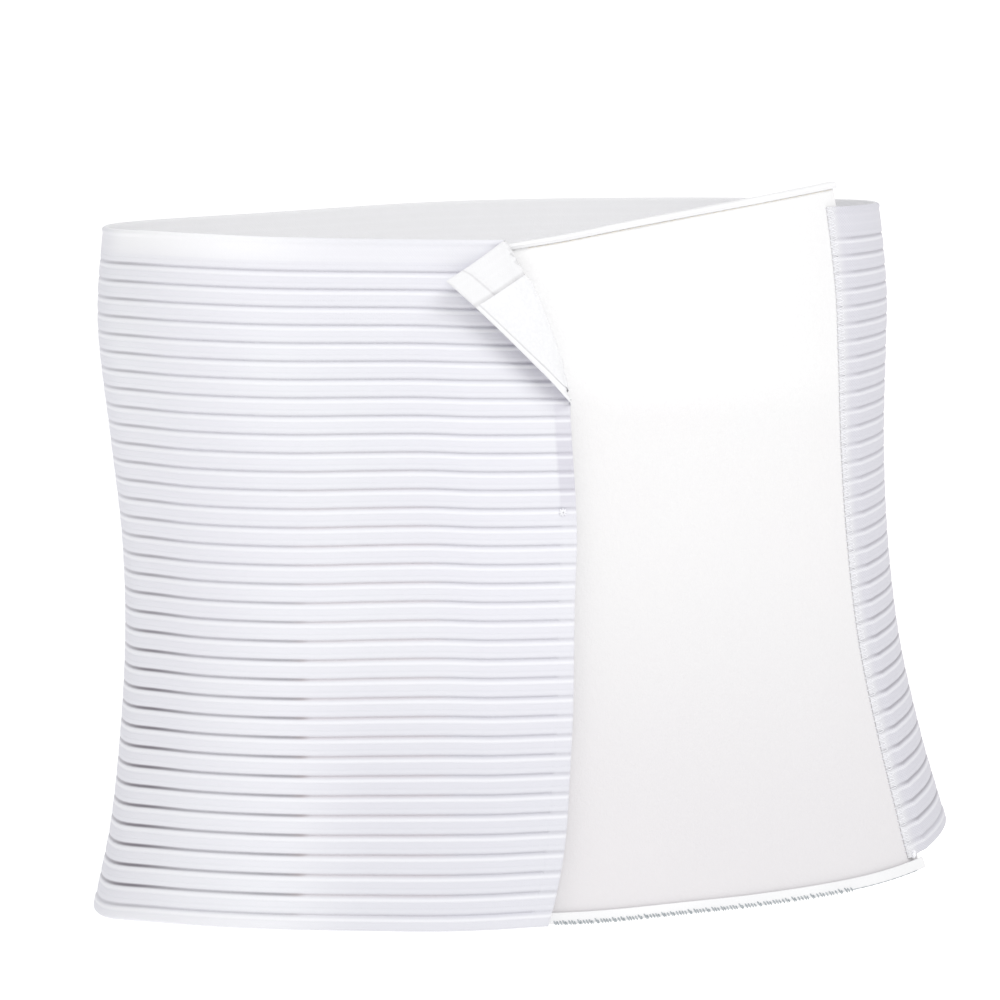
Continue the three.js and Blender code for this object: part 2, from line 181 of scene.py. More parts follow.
# Small stitches, each a round thread that rises from one point and dips into the cloth at another.
# Its centre follows start + (stop - start) t + lift sin(pi t) outwards, and it thins to the ends.
def stitches(name, starts, stops, outwards, thread, lift, finish, stations=6, sides=6, endShare=0.55):
    t = np.linspace(0, 1, stations)
    arch = np.sin(np.pi * t)
    run = stops - starts
    centre = starts[:, None] + run[:, None] * t[:, None] + outwards[:, None] * (lift * arch)[:, None]
    forward = run / np.linalg.norm(run, axis=1, keepdims=True)
    aside = np.cross(outwards, forward)
    aside /= np.linalg.norm(aside, axis=1, keepdims=True)
    up = np.cross(forward, aside)
    angle = np.arange(sides) * 2 * np.pi / sides
    slim = thread * (endShare + (1 - endShare) * arch)[None, :, None, None]
    ring = aside[:, None, None] * np.cos(angle)[:, None] + up[:, None, None] * np.sin(angle)[:, None]
    points = centre[:, :, None] + slim * ring
    count = len(starts)
    number = np.arange(count * stations * sides).reshape(count, stations, sides)
    turned = np.roll(number, -1, axis=2)
    sideFaces = np.stack([number[:, :-1], turned[:, :-1], turned[:, 1:], number[:, 1:]], -1)
    faces = sideFaces.reshape(-1, 4).tolist() + number[:, 0, ::-1].tolist() + number[:, -1].tolist()
    return makeMesh(name, points, faces, finish=finish)


# Finishes

class Signal:  # one number inside a finish; sums and products on it add Math nodes
    def __init__(self, finish, socket):
        self.finish = finish
        self.socket = socket

    def math(self, operation, *values):
        return self.finish.signal("ShaderNodeMath", {"operation": operation}, values)

    def __add__(self, other):
        return self.math("ADD", self, other)

    def __sub__(self, other):
        return self.math("SUBTRACT", self, other)

    def __rsub__(self, other):
        return self.math("SUBTRACT", other, self)

    def __mul__(self, other):
        return self.math("MULTIPLY", self, other)

    __radd__ = __add__

    def fraction(self):
        return self.math("FRACT", self)

    def sine(self):
        return self.math("SINE", self)

    def least(self, other):
        return self.math("MINIMUM", self, other)

    def size(self):
        return self.math("ABSOLUTE", self)

    # 1 at the middle, falling to 0 this far from it on both sides, and full as far as stop
    def near(self, middle, reach, stop=0.0):
        return (self - middle).size().ease(reach, stop)

    # 0 at start and 1 at stop along an even S, which may run downwards
    def ease(self, start, stop):
        rising = stop > start
        inputs = {"Value": self, "From Min": min(start, stop), "From Max": max(start, stop)}
        inputs |= {"To Min": 0.0 if rising else 1.0, "To Max": 1.0 if rising else 0.0}
        return self.finish.signal("ShaderNodeMapRange", {"interpolation_type": "SMOOTHSTEP"}, inputs)


class Finish:
    def __init__(self, name, roughness, sheen=0.0, specular=0.25):
        self.material = bpy.data.materials.new(name)
        self.material.use_nodes = True
        self.tree = self.material.node_tree
        self.shader = self.tree.nodes["Principled BSDF"]
        self.shader.inputs["Roughness"].default_value = roughness
        self.shader.inputs["Sheen Weight"].default_value = sheen
        self.shader.inputs["Specular IOR Level"].default_value = specular

    # Adds a node: its settings first, then the values or links of its sockets by name or by number
    def node(self, kind, settings=None, inputs=()):
        made = self.tree.nodes.new(kind)
        for key, value in (settings or {}).items():
            setattr(made, key, value)
        for key, value in inputs.items() if isinstance(inputs, dict) else enumerate(inputs):
            source = value.socket if isinstance(value, Signal) else value
            if isinstance(source, bpy.types.NodeSocket):
                self.tree.links.new(source, made.inputs[key])
            else:
                made.inputs[key].default_value = source
        return made

    def signal(self, kind, settings=None, inputs=(), output=0):
        return Signal(self, self.node(kind, settings, inputs).outputs[output])

    def mark(self, name):
        return self.signal("ShaderNodeAttribute", {"attribute_name": name}, output="Fac")

    def parts(self, vector):
        split = self.node("ShaderNodeSeparateXYZ", inputs=[vector])
        return [Signal(self, split.outputs[axis]) for axis in "XYZ"]

    def clothPlace(self):
        return self.parts(self.node("ShaderNodeUVMap", {"uv_map": "cloth"}).outputs[0])[:2]

    def objectPlace(self):
        return self.node("ShaderNodeTexCoord").outputs["Object"]

    def noise(self, scale, detail=2.0):
        inputs = {"Vector": self.objectPlace(), "Scale": scale, "Detail": detail}
        return self.signal("ShaderNodeTexNoise", inputs=inputs)

    def mixed(self, factor, colour, other):
        inputs = {0: factor, 6: rgba(colour), 7: rgba(other)}
        return self.node("ShaderNodeMix", {"data_type": "RGBA"}, inputs).outputs[2]

    # Two colours in soft clouds
    def clouded(self, colour, other, scale, detail=2.0):
        return self.mixed(self.noise(scale, detail).ease(0.35, 0.7), colour, other)

    # Colours laid over a ground one after another, each as strongly as its signal says
    def layered(self, ground, *layers):
        for strength, colour in layers:
            ground = self.mixed(strength, ground, colour)
        return ground

    # Ends the finish: its colour, and the height in metres that bumps it
    def close(self, colour, height, strength):
        self.tree.links.new(colour, self.shader.inputs["Base Color"])
        inputs = {"Height": height, "Strength": strength, "Distance": 1.0}
        bump = self.node("ShaderNodeBump", inputs=inputs)
        self.tree.links.new(bump.outputs[0], self.shader.inputs["Normal"])
        return self.material


def rgba(colour):
    return colour if isinstance(colour, bpy.types.NodeSocket) else (*colour, 1.0)


# The ribbed elastic band
elastic = {
    "thickness": 2.2, "ribCount": 34, "topHem": 13.4, "bottomHem": 6.3, "endHem": 7.6,
    "endHemRise": 0.15, "endHemRun": 1.2,
    "ribWidening": 0.075,  # how much more the lowest rib has than the middle one
    "furrowDepth": 0.8, "furrowWidth": 0.6, "crown": 0.06,
    "overHook": 5.7,  # levels of its inner face
    "overPanel": 4.1,
    "sewnDrop": 0.32,  # how much the sewn edge is pressed towards the panel
    "sewnThickness": 1.3, "sewnTurns": (-0.5, 0.7), "rimThickness": 0.5, "rimRun": (2.6, 0.3),
    # ridges and a groove beside the edges: height, distance inside the edge, and width
    "topRoll": (0.3, 1.1, 1.0), "topGroove": (-0.15, 2.9, 0.6), "joinRidge": (0.25, 1.1, 1.0),
    "seamDepth": 0.4,  # of the end hem's seam, on the inner face
    "seamWidth": 0.55, "seamReach": 4.0, "bottomRise": 0.45, "bottomRiseRun": 1.6,
    # the furrows get shallower at the sides, less so towards the back, and at hem and join
    "sideTurns": (-66, -84), "backTurns": (-110, -140), "backRegain": 0.4, "sideFilling": 0.7,
    "hemFilling": 0.45, "sewnFilling": 0.6,
    "stepTop": 42.3,  # millimetres from the end edge to where the band starts down beside the panel
    "stepRun": 45.0, "stepStraightness": 0.6, "joinFootTurn": -276.0, "joinClearTurn": 0.8,
    "edges": {
        "turn": (-306, -300, -294, -285, -270, -225, -180, -135, -91, -72, -50, -28, -10, 4),
        "top": (0.565, 0.567, 0.569, 0.572, 0.576, 0.58, 0.573,
                0.552, 0.534, 0.53, 0.522, 0.519, 0.518, 0.518),
        "bottom": (-0.424, -0.406, -0.389, -0.371, -0.359, -0.374, -0.42,
                   -0.47, -0.495, -0.484, -0.481, -0.48, -0.474, -0.471),
    },
    # how far the ribs halfway down hang below an even spread between the two edges
    "sag": {
        "turn": (-310, -285, -262, -100, -80, -67, -50, -38, -27, -17, -8, 4),
        "drop": (-1.2, -1.2, 0, 0, -0.6, -1.9, -1.6, -0.5, 0, -1.0, -1.4, -1.5),
    },
    "frontEnd": {
        "share": (0, 0.23, 0.41, 0.53, 0.67, 0.82, 0.96, 1),
        "turn": (2.2, 2.2, 2.3, 0.6, -1.5, -4.8, -8.3, -9.6),
    },
    "join": {
        "height": (-0.46, -0.42, -0.36, -0.24, -0.08, 0.1, 0.35, 0.54, 0.6),
        "elastic": (60.2, 60, 59.4, 59.7, 59.8, 59.4, 57.4, 54.2, 53),
        "panel": (64, 63, 62, 62.1, 62.2, 62, 60.2, 57.2, 56),
    },
    # rows of the mesh: places within a rib, then millimetres from the top edge and below the last rib
    "rows": {
        "rib": (0, 0.045, 0.09, 0.15, 0.28, 0.44, 0.6, 0.75, 0.86, 0.92, 0.96),
        "innerRib": (0, 0.15, 0.44, 0.86),
        "top": (0, 0.12, 0.4, 1.0, 1.8, 2.4, 2.9, 4.5, 7.5, 10.5, 12.2, 12.7, 13.05),
        "bottom": (0.35, 0.75, 1.3, 2.4, 3.9, 5.1, 5.7, 6.1, 6.3),
    },
    # columns from the front end backwards: shares of the front zone, counts round the body as far as
    # the side's last turn and the join's foot, and shares of the join zone
    "columns": {
        "front": ((0, 0.004, 0.012), (0.026, 1, 64), ()),
        "stepCount": 25, "sideCount": 39, "sideTurn": -150, "backCount": 43, "join": (0, 0.95, 34),
        "joinRim": (0.97, 0.985, 0.994, 0.998, 1),
    },
}
# The turned corner, from the top edge to a share of the front end, and its flap
fold = {
    "topTurn": -10.7, "endShare": 0.236, "heightShare": 0.75, "clearance": 0.4, "margin": 2.0,
    "leastReach": 0.25, "tips": (0.004, 0.996),
    "lift": 4.0,  # of its tip, which also slides up the fold and stretches out
    "slide": 2.0, "stretch": 1.03, "edgeLift": 3.6, "edgeRun": 18.0, "edgeStart": 5.0,
    "settle": 0.55, "settleRun": 3.0,
    # the shade under it: how far it reaches, where it starts and how it fades
    "shadeReach": 13.0, "shadeStart": (-3, 1), "shadeFoot": (-2, 4), "shadeFading": (0.95, 0.3),
}
ribZone = waist["bandHeight"] - elastic["topHem"] - elastic["bottomHem"]
ribPitch = ribZone / elastic["ribCount"]
sideArc = math.radians(waist["breadth"] / 2)  # millimetres a degree at the sides


def elasticTop(turn):
    return tableValue(elastic["edges"], "turn", "top", turn) * waist["bandHeight"]


def elasticBottom(turn):
    return tableValue(elastic["edges"], "turn", "bottom", turn) * waist["bandHeight"]


def elasticHeight(turn, share):
    sag = tableValue(elastic["sag"], "turn", "drop", turn) * np.sin(np.pi * share)
    return elasticTop(turn) + (elasticBottom(turn) - elasticTop(turn)) * share + sag


def endTurn(share):
    return tableValue(elastic["frontEnd"], "share", "turn", share)


def joinTurn(height, cloth):
    return tableValue(elastic["join"], "height", cloth, height / waist["bandHeight"])


foldWaistHeight = elasticTop(fold["topTurn"]) * fold["heightShare"]
foldHalfDepth = tableValue(waist["sections"], "height", "depth", foldWaistHeight / waist["bandHeight"])
frontArc = math.radians(foldHalfDepth * waist["depth"] / 2 + elastic["overHook"])  # at the front
stepTopTurn = endTurn(0.0) - elastic["stepTop"] / frontArc
stepFootTurn = stepTopTurn - elastic["stepRun"] / frontArc
joinMiddleTurn = joinTurn(0.0, "elastic") - fullTurn
foldCentre = elastic["overHook"] + elastic["thickness"] + fold["clearance"]
foldStart = np.array([fold["topTurn"] * frontArc, elasticTop(fold["topTurn"])])
foldEndHeight = elasticHeight(0.0, fold["endShare"])
foldEnd = np.array([endTurn(fold["endShare"]) * frontArc, foldEndHeight])
foldLength = np.linalg.norm(foldEnd - foldStart)
foldAlong = (foldEnd - foldStart) / foldLength
foldAway = np.array([-foldAlong[1], foldAlong[0]])
foldCorner = np.array([endTurn(0.0) * frontArc, elasticTop(endTurn(0.0))]) - foldStart
cornerAlong, cornerAway = foldCorner @ foldAlong, foldCorner @ foldAway


# Cloth laid flat at the front and folded over one slanting line. Beyond the line a point first goes
# round the rolled edge, a half circle about the fold's centre level, and then lies back over the band.
def foldedOver(turn, height, level):
    flat = np.stack([turn * frontArc, height], -1) - foldStart
    along, away = flat @ foldAlong, flat @ foldAway
    topSlope, endSlope = cornerAway / cornerAlong, cornerAway / (foldLength - cornerAlong)
    reach = np.minimum(topSlope * along, endSlope * (foldLength - along))
    reach = np.maximum(reach, fold["leastReach"])
    before = foldCentre - level
    middle = foldCentre - elastic["overHook"] - elastic["thickness"] / 2
    taper = np.sqrt(np.sin(np.pi * np.clip(along / foldLength, *fold["tips"])))
    roll = np.pi * middle * taper
    gone = np.clip(away / reach, 0, 1) * (reach + roll)
    angle = np.clip(gone / roll, 0, 1) * np.pi
    back = np.maximum(gone - roll, 0)
    tipShare = back / cornerAway
    newAlong = along - fold["slide"] * tipShare
    newAway = before * taper * np.sin(angle) - back * fold["stretch"]
    fromEdge = (endSlope * (foldLength - along) - back) / math.hypot(1, endSlope)
    settled = easeIn(0, fold["settleRun"], back)
    edgeLift = easeIn(fold["edgeRun"], 0, fromEdge) * easeIn(0, fold["edgeStart"], back)
    lift = fold["lift"] * tipShare**2 - fold["settle"] * settled
    lift = lift + fold["edgeLift"] * edgeLift
    newLevel = foldCentre - before * np.cos(angle) + lift
    margin = fold["margin"]
    beyond = (away > 0) & (turn > fold["topTurn"] - 1)
    beyond = beyond & (along > -margin) & (along < foldLength + margin)
    landed = foldStart + foldAlong * newAlong[..., None] + foldAway * newAway[..., None]
    return (
        np.where(beyond, landed[..., 0] / frontArc, turn),
        np.where(beyond, landed[..., 1], height),
        np.where(beyond, newLevel, level),
    )


# How deep the shade under the turned corner's free edge is at a point of the flat band: 1 along the
# edge's lower half, fading away from it and towards the tip
def flapShade(turn, height):
    tip = foldStart + foldAlong * (cornerAlong - fold["slide"])
    tip = tip - foldAway * cornerAway * fold["stretch"]
    edge = tip - foldEnd
    length = np.linalg.norm(edge)
    flat = np.stack([turn * frontArc, height], -1) - foldEnd
    along = flat @ edge / length
    below = (flat[..., 1] * edge[0] - flat[..., 0] * edge[1]) / length
    spread = easeIn(fold["shadeReach"], 0, below) * easeIn(*fold["shadeStart"], below)
    spread = spread * easeIn(*fold["shadeFoot"], along)
    return spread * easeIn(*fold["shadeFading"], along / length)


# Rows of the band from its top edge down, in millimetres, with each row's place counted in ribs
def elasticRows():
    rows, last = elastic["rows"], elastic["ribCount"]
    places = np.concatenate([
        (np.array(rows["top"]) - elastic["topHem"]) / ribPitch,
        (np.arange(last)[:, None] + np.array(rows["rib"])).ravel(),
        [last],
        last + np.array(rows["bottom"]) / ribPitch,
    ])
    step = np.clip(places / last, 0, 1)
    inside = elastic["topHem"] + ribZone * step * (1 + elastic["ribWidening"] * (step - 1))
    down = np.where(places < 0, elastic["topHem"] + places * ribPitch, inside)
    down += np.maximum(places - last, 0) * ribPitch
    return down, places


# Turns of the mesh's points. Columns share out the front zone and the join zone, whose edges slant, and
# the turns between are fixed.
def elasticTurns(share):
    columns, joinFoot = elastic["columns"], elastic["joinFootTurn"]
    front = rimmed(columns["front"])
    body = np.concatenate([
        np.linspace(stepTopTurn, stepFootTurn, columns["stepCount"])[1:],
        np.linspace(stepFootTurn, columns["sideTurn"], columns["sideCount"])[1:],
        np.linspace(columns["sideTurn"], joinFoot, columns["backCount"])[1:],
    ])
    join = np.concatenate([np.linspace(*columns["join"])[1:], columns["joinRim"]])
    edge = endTurn(share)[:, None]
    joinHeight = elasticHeight(joinMiddleTurn, share)
    joinEdge = joinTurn(joinHeight, "elastic")[:, None] - fullTurn
    return np.concatenate([
        edge + (stepTopTurn - edge) * front,
        np.broadcast_to(body, (len(share), len(body))),
        joinFoot + (joinEdge - joinFoot) * join,
    ], 1)


def ridge(shape, value):
    rise, middle, width = shape
    return rise * bell(middle, width, value)


# The band's own shape. The level of its inner face steps up over the panel at the front and at the
# join. Its outer face has round furrows between slightly crowned ribs, a rolled top edge and raised
# hems, and all its edges are round.
def elasticFace(down, places, isOuter):
    share = down / waist["bandHeight"]
    turn = elasticTurns(share)
    height = elasticHeight(turn, share[:, None])
    down, place = down[:, None], places[:, None]
    panelEnd = joinTurn(height, "panel") - fullTurn
    fromEnd = (endTurn(share)[:, None] - turn) * frontArc
    fromJoin = (turn - (joinTurn(height, "elastic") - fullTurn)) * sideArc
    fromBottom = waist["bandHeight"] - down

    fromFoot = np.clip((turn - stepFootTurn) / (stepTopTurn - stepFootTurn), 0, 1)
    straightness, joinFoot = elastic["stepStraightness"], elastic["joinFootTurn"]
    overFront = straightness * fromFoot + (1 - straightness) * easeIn(0, 1, fromFoot)
    overJoin = np.clip((turn - joinFoot) / (panelEnd + elastic["joinClearTurn"] - joinFoot), 0, 1)
    endHem = 1 - easeIn(elastic["endHem"] - elastic["endHemRun"], elastic["endHem"], fromEnd)
    sewn = 1 - easeIn(*elastic["sewnTurns"], turn - panelEnd)
    thickness = elastic["thickness"] + (elastic["sewnThickness"] - elastic["thickness"]) * sewn
    thickness = thickness + (elastic["rimThickness"] - thickness) * easeIn(*elastic["rimRun"], fromJoin)
    level = elastic["overHook"] * overFront + elastic["overPanel"] * overJoin
    level = level - elastic["sewnDrop"] * sewn

    last = elastic["ribCount"]
    nearRibs = (place > -0.5) & (place < last + 0.5)
    fromFurrow = np.abs(place - np.round(np.clip(place, 0, last))) * ribPitch
    furrow = np.where(nearRibs, bell(0, elastic["furrowWidth"], fromFurrow), 0)
    atSides = easeIn(*elastic["sideTurns"], turn)
    atSides = atSides * (1 - elastic["backRegain"] * easeIn(*elastic["backTurns"], turn))
    quiet = 1 - elastic["hemFilling"] * endHem - elastic["sewnFilling"] * sewn
    crown = elastic["crown"] * np.clip(fromFurrow / ribPitch * 2, 0, 1) * ((place > 0) & (place < last))
    topRoll = ridge(elastic["topRoll"], down) + ridge(elastic["topGroove"], down)
    hem = elastic["bottomHem"]
    bottomRoll = elastic["bottomRise"] * easeIn(hem, hem - elastic["bottomRiseRun"], fromBottom)
    furrowDepth = elastic["furrowDepth"] * (1 - elastic["sideFilling"] * atSides)
    relief = quiet * (crown - furrowDepth * furrow) + topRoll + bottomRoll
    relief = relief + endHem * elastic["endHemRise"] + ridge(elastic["joinRidge"], fromJoin)

    nearest = np.minimum(np.minimum(down, fromBottom), np.minimum(np.abs(fromEnd), np.abs(fromJoin)))
    half = thickness / 2
    full = roundedEdge(nearest, half)
    if isOuter:
        through = half + full * (half + relief)
    else:
        seam = elastic["seamDepth"] * bell(elastic["endHem"], elastic["seamWidth"], fromEnd)
        seam = seam * (down < elastic["topHem"] + elastic["seamReach"])
        through = half - full * (half - seam)
    uv = np.stack([turn * sideArc / 10, place + 0 * turn], -1)
    marks = {"sewn": sewn, "endHem": endHem, "turnShare": turn / fullTurn, "down": down + 0 * turn}
    marks["inner"] = 0 * turn + (0 if isOuter else 1)
    marks["shade"] = flapShade(turn, height) if isOuter else 0 * turn
    marks["fromJoin"] = fromJoin
    return onBody(*foldedOver(turn, height, level + through)), uv, marks


bandLook = {
    # turns between which each part of the colouring comes in or goes out, much of it painted shade
    "turns": {
        "side": (-66, -80), "sideEnd": (-96, -80), "lowSide": (-49.5, -51.5), "lowSideFront": (-62, -54),
        "right": (-230, -280), "front": (-56, -40), "topSide": (-32, -62), "silhouette": (-78, -92),
        "lining": (-34, -26), "warm": (-54, -48), "warmEnd": (-24, -30),
    },
    # the same down the band, in millimetres
    "downs": {
        "side": (90, 200), "lowSide": (110, 200), "front": (150, 235), "top": (15, 1.5),
        "endShade": (52, 88), "endShadeEnd": (118, 96), "lining": (13.5, 14.5), "warm": (60, 130),
    },
    # how dark the furrows are (their own darker yarn and painted shade), what each part adds, and how
    # clearly the woven yarns show
    "darkness": {
        "furrow": 0.17, "side": 0.34, "sideLow": 0.3, "lowSide": 0.24, "lowSideFront": 0.14,
        "right": 0.12,
    },
    "weave": {"plain": 0.012, "side": 0.03, "right": 0.13},
    "yarnPitch": 0.13,  # centimetres
    "weftsInRib": 6,
    # distances from the nearest furrow's middle, then from the hem's seam and from the join
    "furrowHalf": (1.05, 0.15), "edgeLight": (1.75, 1.1), "pinstripe": (2.7, 0.5),
    "hookSeam": (1.4, 0.2), "joinLight": (7.0, 0.5),
    "colours": {
        "lilac": (0.765, 0.762, 0.81), "blueWhite": (0.785, 0.79, 0.825), "hem": (0.81, 0.81, 0.84),
        # on the next line: a painted highlight for the top edge at the side, a painted shade grey for the
        # front and the left silhouette, and painted shade for the right side
        "topSide": (0.92, 0.92, 0.93), "paintedShadeGrey": (0.64, 0.64, 0.69), "right": (0.7, 0.69, 0.738),
        "join": (0.8, 0.8, 0.81), "endShade": (0.5, 0.48, 0.56), "flapShade": (0.36, 0.34, 0.42),
        "lining": (0.785, 0.785, 0.795), "liningHem": (0.84, 0.84, 0.85),
        "seam": (0.52, 0.51, 0.52), "edgeLight": (0.88, 0.88, 0.905), "weave": (0.36, 0.35, 0.4),
        "pinstripe": (0.6, 0.6, 0.66), "furrow": (0.2, 0.185, 0.21),
        "warmFurrow": (0.34, 0.19, 0.15),
    },
}


def elasticFinish():
    finish = Finish("ribbedElasticFinish", 0.85, sheen=0.15)
    colours, dark, weave = (bandLook[key] for key in ("colours", "darkness", "weave"))
    along, place = finish.clothPlace()  # centimetres round the band, and ribs down it
    sewn, endHem, inner = (finish.mark(name) for name in ("sewn", "endHem", "inner"))
    turnShare, down = finish.mark("turnShare"), finish.mark("down")
    turns = {
        key: turnShare.ease(start / fullTurn, stop / fullTurn)
        for key, (start, stop) in bandLook["turns"].items()
    }
    downs = {key: down.ease(start, stop) for key, (start, stop) in bandLook["downs"].items()}
    last, outerSide = elastic["ribCount"], 1 - inner

    inRibs = place.ease(-0.5, -0.45) * place.ease(last + 0.5, last + 0.45)
    phase = (place + 0.5).fraction() - 0.5
    fromFurrow = phase.size() * ribPitch
    # how dark the furrows get: partly their own darker yarn, and painted shade that deepens at the left
    # side, low on the left and round the right
    side = turns["side"] * turns["sideEnd"]
    lowSide = turns["lowSide"] * downs["lowSide"]
    lowSide = lowSide * (turns["lowSideFront"] * dark["lowSideFront"] + dark["lowSide"])
    depth = dark["furrow"] + side * (dark["side"] + downs["side"] * dark["sideLow"])
    depth = depth + lowSide + turns["right"] * dark["right"]
    hemLine = place.ease(last - 0.6, last - 0.4)
    furrow = fromFurrow.ease(*bandLook["furrowHalf"]) * inRibs * depth
    furrow = furrow * (1 - sewn * 0.6) * (1 - hemLine * 0.6) * outerSide
    # painted highlight on each rib beside its furrows, strongest just below a furrow, where the rib's top
    # faces the light from above
    below = phase.ease(0.0, 0.08) * outerSide * inRibs
    edgeLight = fromFurrow.near(*bandLook["edgeLight"]) * (below * 0.85 + 0.15)
    pinstripe = fromFurrow.near(*bandLook["pinstripe"]) * inRibs * outerSide

    hookSeam = down.near(elastic["topHem"], *bandLook["hookSeam"])
    hookSeam = hookSeam + endHem.ease(0.05, 0.5) * endHem.ease(0.95, 0.5) * 1.2
    lining = finish.layered(
        colours["lining"],
        (endHem * downs["lining"], colours["liningHem"]),
        (hookSeam * turns["lining"] * 0.38, colours["seam"]),
    )
    plain = place.ease(-0.5, -0.55) + place.ease(last + 0.05, last + 0.2)
    # painted shade: the front of the band darker, more so towards the bottom
    front = turns["front"] * (0.22 + downs["front"] * 0.4)
    joinLight = finish.mark("fromJoin").ease(*bandLook["joinLight"])
    endShade = endHem * downs["endShade"] * downs["endShadeEnd"] * outerSide
    warm = turns["warm"] * turns["warmEnd"] * downs["warm"] * 0.8
    yarn = (along * (2 * math.pi / bandLook["yarnPitch"])).sine()
    weft = (place * (2 * math.pi * bandLook["weftsInRib"])).sine()
    woven = turns["right"] * weave["right"] + side * weave["side"] + weave["plain"]
    grain = finish.noise(900.0)
    ground = finish.layered(
        finish.clouded(colours["lilac"], colours["blueWhite"], 9.0, 3.0),
        (plain * 0.7, colours["hem"]),
        # painted highlight along the top edge on the left side
        (downs["top"] * turns["topSide"] * 0.8, colours["topSide"]),
        (front * outerSide, colours["paintedShadeGrey"]),
        # painted shade: the band darker round its right side, up to the join
        (turns["right"], colours["right"]),
        # painted shade along the band's left silhouette
        (turns["silhouette"] * 0.6, colours["paintedShadeGrey"]),
        (joinLight * 0.75, colours["join"]),
        (endShade * 0.5, colours["endShade"]),
        (finish.mark("shade") * 0.34, colours["flapShade"]),
        (inner, lining),
        # painted highlight beside the furrows
        (edgeLight * 0.6, colours["edgeLight"]),
        ((yarn * weft + 1.0) * woven, colours["weave"]),
        (pinstripe * 0.05 + grain * 0.06, colours["pinstripe"]),
        # furrow colour: darker yarn and painted shade
        (furrow, finish.mixed(warm, colours["furrow"], colours["warmFurrow"])),
    )
    height = yarn * weft * 0.00003 + grain * 0.00008 - pinstripe * 0.0001
    return finish.close(ground, height, 0.6)


def ribbedElasticBand():
    down, places = elasticRows()
    inRibs = (places >= 0) & (places < elastic["ribCount"])
    phase = places - np.floor(places)
    isInner = ~inRibs | np.isclose(phase[:, None], elastic["rows"]["innerRib"], atol=1e-6).any(1)
    innerRows = np.flatnonzero(isInner)
    outer = elasticFace(down, places, True)
    inner = elasticFace(down[innerRows], places[innerRows], False)
    return clothSheet("ribbedElasticBand", outer, inner, innerRows, elasticFinish())


band = ribbedElasticBand()
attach(band, "root")
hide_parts("ribbed_elastic_band")
print("ribbed elastic band:", len(band.data.polygons), "faces")

# The hook strip
hook = {
    "inner": 4.1, "thickness": 1.3,
    "edgeThinning": 0.95,  # its edges are pressed flat against the elastic by this much over this width
    "edgeWidth": 3.5, "edgeRise": 0.2, "width": 38.0, "fromTop": 14.0, "fromBottom": 10.0,
    "fromEnd": 1.5,
    # shares of the mesh's rows and columns: its rims, and evenly spaced stretches between
    "rows": ((0, 0.001, 0.003), (0.006, 0.4, 60), (0.42, 0.994, 30), (0.998, 1)),
    "columns": ((0, 0.008, 0.02), (0.04, 0.96, 46), (0.98, 0.992, 1)),
}


def hookFinish():
    finish = Finish("hookFinish", 0.7, sheen=0.1)
    inputs = {"Vector": finish.objectPlace(), "Scale": 700.0}
    hooks = finish.signal("ShaderNodeTexVoronoi", {"feature": "F1"}, inputs)
    ground = finish.clouded((0.81, 0.81, 0.82), (0.84, 0.84, 0.85), 22.0)
    ground = finish.mixed(hooks.ease(0.2, 0.7) * 0.14, ground, (0.68, 0.68, 0.72))
    return finish.close(ground, hooks * -0.00025, 0.5)


# The strip under the band's front end, from its end hem backwards, folded over with the corner
def hookFace(share, across, isOuter):
    top, bottom = elasticTop(0.0) - hook["fromTop"], elasticBottom(0.0) + hook["fromBottom"]
    height = (top + (bottom - top) * share)[:, None] + 0 * across
    bandShare = (elasticTop(0.0) - height) / (elasticTop(0.0) - elasticBottom(0.0))
    outerEdge = endTurn(bandShare) - hook["fromEnd"] / frontArc
    innerEdge = endTurn(0.0) - (hook["fromEnd"] + hook["width"]) / frontArc
    turn = outerEdge + (innerEdge - outerEdge) * across
    inside = np.minimum(share, 1 - share)[:, None] * (top - bottom)
    inside = np.minimum(inside, np.minimum(outerEdge - turn, turn - innerEdge) * frontArc)
    thin = hook["edgeThinning"] * easeIn(hook["edgeWidth"], 0, inside)
    half = (hook["thickness"] - thin) / 2
    full = roundedEdge(inside, half)
    rise = thin * hook["edgeRise"] / hook["edgeThinning"]
    level = hook["inner"] + thin + rise + half + (half * full if isOuter else -half * full)
    uv = np.stack([turn * frontArc / 10, height / 10], -1)
    return onBody(*foldedOver(turn, height, level)), uv, {}


def hookStrip():
    share, across = rimmed(hook["rows"]), rimmed(hook["columns"])
    outer, inner = (hookFace(share, across, isOuter) for isOuter in (True, False))
    return clothSheet("hookStrip", outer, inner, np.arange(len(share)), hookFinish())


strip = hookStrip()
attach(strip, "root")
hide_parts("hook_strip")
print("hook strip:", len(strip.data.polygons), "faces")

# The closure panel and its bindings
panel = {
    "inner": 1.4, "thickness": 2.3,
    "start": 41.1,  # millimetres from the band's end edge to the panel's hidden end
    "edgeGap": 1.4,  # the binding's cloth and the gap inside its fold
    "farTurn": 60.0,  # about where it ends under the elastic
    "puff": 0.12, "puffRun": 9.0, "underTop": (4.5, 2.5),
    "edges": {
        "turn": (-18, -9, 1, 16, 32, 50, 64),
        "top": (0.5, 0.513, 0.525, 0.5465, 0.569, 0.5945, 0.612),
        "bottom": (-0.47, -0.473, -0.4715, -0.464, -0.456, -0.442, -0.4235),
    },
    # soft hollows and swells: where they are, how far out they stand, and how wide they are
    "dents": {
        "turn": (18, 20, 36, 34, 24, 42, 12), "height": (132, 30, 118, 38, -40, -60, -92),
        "out": (-0.5, -0.7, 0.5, 0.45, 0.4, -0.4, 0.35), "turnWidth": (7, 8, 10, 9, 12, 9, 7),
        "heightWidth": (22, 16, 26, 22, 26, 30, 20),
    },
    "dentsStart": (3, 9),  # turns between which the dents come in and go out
    "dentsEnd": (56, 50), "rows": 110,
    "columns": ((0, 0.002, 0.005), (0.01, 0.99, 130), (0.995, 0.998, 1)),
}
panelStartTurn = endTurn(0.0) - panel["start"] / frontArc


def panelEdge(turn, side):
    return tableValue(panel["edges"], "turn", side, turn) * waist["bandHeight"]


